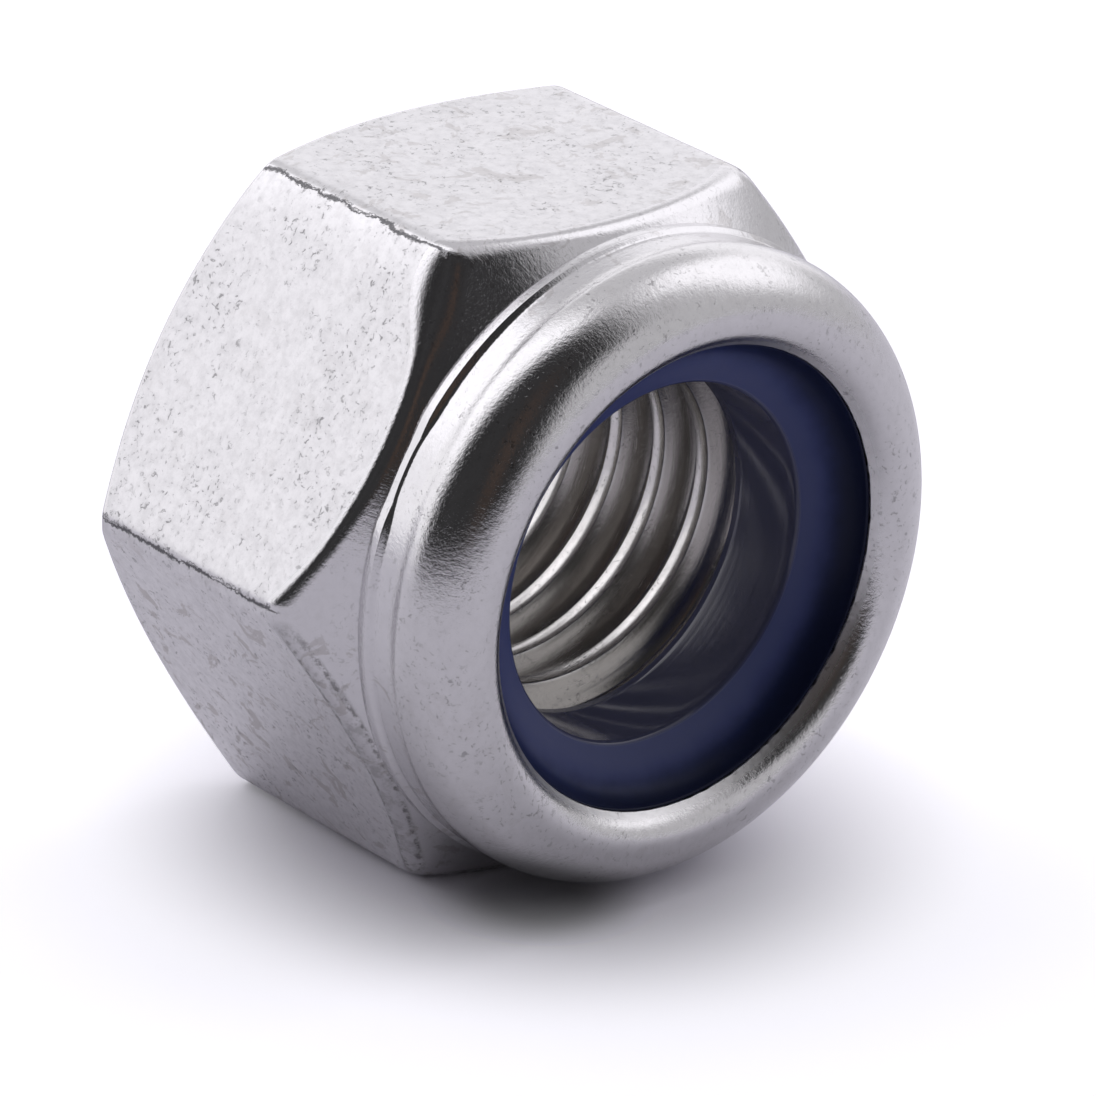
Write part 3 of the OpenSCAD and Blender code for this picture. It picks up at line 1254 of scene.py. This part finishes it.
@dataclass(frozen=True)
class StudioCamera:
    """The camera: a long lens in front of the collar, to its left and above, as in the photograph.

    Angles are degrees, and lengths millimetres. reach is the nearest and farthest view in metres.
    """

    azimuth: float = -42.05
    elevation: float = 24.11
    roll: float = 3.0
    distance: float = 153.1
    aim: tuple[float, float, float] = (0.28, -4.79, -1.00)
    focal_pixels: float = 8000.0
    image_pixels: float = 1096.0
    sensor: float = 36.0
    reach: Pair = (0.01, 10.0)

    def build(self) -> None:
        """Makes the camera and hands it to the scene."""
        data = bpy.data.cameras.new("studio_camera")
        data.sensor_width = self.sensor
        data.lens = self.focal_pixels / self.image_pixels * self.sensor
        data.clip_start, data.clip_end = self.reach
        a, e, t = (math.radians(v) for v in (self.azimuth, self.elevation, self.roll))
        back = Vector((math.sin(a) * math.cos(e), -math.cos(a) * math.cos(e), math.sin(e)))
        level = Vector((math.cos(a), math.sin(a), 0.0))
        upright = back.cross(level)
        right = math.cos(t) * level + math.sin(t) * upright
        up = math.cos(t) * upright - math.sin(t) * level
        place = Vector(self.aim) * MM + back * self.distance * MM
        camera = bpy.data.objects.new("studio_camera", data)
        turn = Matrix((right, up, back)).transposed().to_4x4()
        camera.matrix_world = Matrix.Translation(place) @ turn
        bpy.context.scene.collection.objects.link(camera)
        bpy.context.scene.camera = camera


@dataclass(frozen=True)
class Panel:
    """A soft-edged panel of the surroundings, in degrees around and above the nut."""

    azimuth: float
    half_width: float
    low: float
    high: float
    softness: float
    radiance: float

    def over(self, nodes: Nodes, azimuth: Value, elevation: Value, below: Value) -> Socket:
        """Lays the panel over what lies below it.

        The share is the product of three smooth steps: by the distance from the panel's middle
        azimuth, by the elevation above its low edge and by the elevation under its high edge.

        Args:
            nodes: The world's nodes.
            azimuth: Azimuth of the ray in degrees.
            elevation: Elevation of the ray in degrees.
            below: Radiance so far.

        Returns:
            Radiance with this panel.
        """
        off = nodes.math("ABSOLUTE", nodes.math("WRAP", nodes.math("SUBTRACT", azimuth, self.azimuth),
                                                180.0, -180.0))
        soft = self.softness
        share = nodes.steps(off, self.half_width - soft, self.half_width + soft, 1.0, 0.0)
        share = nodes.product(share, nodes.steps(elevation, self.low - soft, self.low + soft))
        share = nodes.product(share,
                              nodes.steps(elevation, self.high - soft, self.high + soft, 1.0, 0.0))
        rest = nodes.product(nodes.math("SUBTRACT", 1.0, share), below)
        return nodes.scaled(share, self.radiance, rest)


LIGHT_PANELS = (
    Panel(azimuth=180.0, half_width=68.0, low=-6.0, high=34.0, softness=6.0, radiance=1.26),
    Panel(azimuth=147.0, half_width=34.0, low=32.0, high=95.0, softness=7.0, radiance=0.74),
    Panel(azimuth=-155.0, half_width=27.0, low=24.0, high=95.0, softness=5.0, radiance=1.60),
    Panel(azimuth=86.0, half_width=27.0, low=18.0, high=66.0, softness=8.0, radiance=1.50),
)
DARK_PANELS = (
    Panel(azimuth=-60.0, half_width=60.0, low=0.0, high=84.0, softness=2.5, radiance=0.035),
    Panel(azimuth=8.0, half_width=12.0, low=34.0, high=84.0, softness=3.0, radiance=0.035),
    Panel(azimuth=-38.0, half_width=5.0, low=12.0, high=56.0, softness=4.0, radiance=0.085),
)
WARM_STRIP = Panel(azimuth=-38.0, half_width=7.0, low=10.0, high=58.0, softness=4.0, radiance=1.0)


@dataclass(frozen=True)
class Studio:
    """White floor and soft surroundings.

    The floor's height and size are metres. Places and distances on it are millimetres.
    """

    floor_z: float
    floor_size: float = 2.0
    floor_colour: Colour = (0.915, 0.900, 0.975)
    floor_roughness: float = 0.7
    painted_shadow: Pair = (-2.3, -7.9)
    painted_shadow_border: Pair = (0.7, 2.4)
    painted_shadow_colour: Colour = (0.36, 0.36, 0.38)
    lift_middle: Pair = (0.0, -5.0)
    lift_border: Pair = (3.4, 9.2)
    lift: float = 0.5
    lift_colour: Colour = (0.98, 0.98, 1.0)
    tent_colour: Colour = (0.98, 0.97, 1.0)
    warm_colour: Colour = (1.0, 0.69, 0.55)
    front_radiance: float = 0.64
    unevenness: Noise = Noise(9.0, 4.0, 0.75, border=(0.42, 0.70))
    uneven_radiance: float = 0.035

    def distance(self, nodes: Nodes, place: Socket, middle: Pair) -> Socket:
        """Distance of a place from a point on the floor, in millimetres."""
        return nodes.add("ShaderNodeVectorMath", {"operation": "DISTANCE"}, in0=place,
                         in1=(*middle, self.floor_z / MM)).outputs["Value"]

    def floor(self) -> None:
        """Makes the pale floor that keeps the nut's shadow.

        Its colour holds a painted shadow, darker under the collar. Away from the nut it glows for the
        camera alone, which brings it up to white.
        """
        half = self.floor_size / 2
        corners = [(-half, -half, self.floor_z), (half, -half, self.floor_z),
                   (half, half, self.floor_z), (-half, half, self.floor_z)]
        mesh = bpy.data.meshes.new("floor")
        mesh.from_pydata(corners, [], [(0, 1, 2, 3)])
        floor = bpy.data.objects.new("floor", mesh)
        bpy.context.scene.collection.objects.link(floor)
        material, nodes = new_material("pale_floor")
        place = place_in_mm(nodes)
        # Painted shadow: the floor's colour darkens under the collar.
        painted_shadow = nodes.steps(self.distance(nodes, place, self.painted_shadow), *self.painted_shadow_border)
        shade = nodes.mix(painted_shadow, opaque(self.painted_shadow_colour), opaque(self.floor_colour))
        paper = nodes.add("ShaderNodeBsdfPrincipled", None, Base_Color=shade,
                          Roughness=self.floor_roughness)
        lift = self.distance(nodes, place, self.lift_middle)
        lift = nodes.steps(lift, *self.lift_border, 0.0, self.lift)
        camera_ray = nodes.add("ShaderNodeLightPath").outputs["Is Camera Ray"]
        glow = nodes.add("ShaderNodeEmission", None, Color=opaque(self.lift_colour),
                         Strength=nodes.product(lift, camera_ray))
        both = nodes.add("ShaderNodeAddShader", None, in0=paper.outputs[0], in1=glow.outputs[0])
        nodes.add("ShaderNodeOutputMaterial", None, Surface=both.outputs[0])
        mesh.materials.append(material)

    def surroundings(self) -> None:
        """Makes the world: white to the camera, and a soft tent of light for everything else."""
        world = bpy.data.worlds.new("soft_tent")
        bpy.context.scene.world = world
        world.use_nodes = True
        nodes = Nodes(world.node_tree)
        direction = nodes.add("ShaderNodeTexCoord").outputs["Generated"]
        x, y, z = nodes.add("ShaderNodeSeparateXYZ", None, Vector=direction).outputs
        azimuth = nodes.math("DEGREES", nodes.math("ARCTAN2", x, nodes.product(y, -1.0)))
        elevation = nodes.math("DEGREES", nodes.math("ARCSINE", z))
        radiance = self.front_radiance
        for panel in LIGHT_PANELS + DARK_PANELS:
            radiance = panel.over(nodes, azimuth, elevation, radiance)
        uneven = self.unevenness.mask(nodes, direction, 0.0, self.uneven_radiance)
        radiance = nodes.total(radiance, uneven)
        warm = WARM_STRIP.over(nodes, azimuth, elevation, 0.0)
        colour = nodes.mix(warm, opaque(self.tent_colour), opaque(self.warm_colour))
        camera_ray = nodes.add("ShaderNodeLightPath").outputs["Is Camera Ray"]
        tent = nodes.add("ShaderNodeBackground", None, Color=colour, Strength=radiance)
        white = nodes.add("ShaderNodeBackground", None, Color=(1.0, 1.0, 1.0, 1.0), Strength=1.0)
        both = nodes.add("ShaderNodeMixShader", None, in0=camera_ray, in1=tent.outputs[0],
                         in2=white.outputs[0])
        nodes.add("ShaderNodeOutputWorld", None, Surface=both.outputs[0])

    def build(self) -> None:
        """Makes the floor and the world."""
        self.floor()
        self.surroundings()


def main() -> None:
    """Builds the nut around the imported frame, then its studio."""
    logging.basicConfig(level=logging.INFO, format="%(name)s: %(message)s")
    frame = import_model()
    low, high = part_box("nut_body")
    mount = next(m for m in frame["record"]["mounts"] if m["name"] == "thread")
    body = NutBody(
        across_flats=(high[2] - low[2]) / MM,
        across_corners=(high[0] - low[0]) / MM,
        height=(high[1] - low[1]) / MM,
        thread=Thread(crest_r=mount["dims"]["r_mm"]),
    )
    steel = body.build()
    LOG.info("%s: %d faces", steel.name, len(steel.data.polygons))
    ring = NylonRing(seat_z=body.seat_z, under_z=body.under_z, outer_r=body.recess_r, lip_x=body.lip_x,
                     under_r=body.under_r)
    nylon = ring.build()
    LOG.info("%s: %d faces", nylon.name, len(nylon.data.polygons))
    StudioCamera().build()
    Studio(floor_z=low[2]).build()
    bpy.context.scene.view_settings.view_transform = "Standard"


if __name__ == "__main__":
    main()
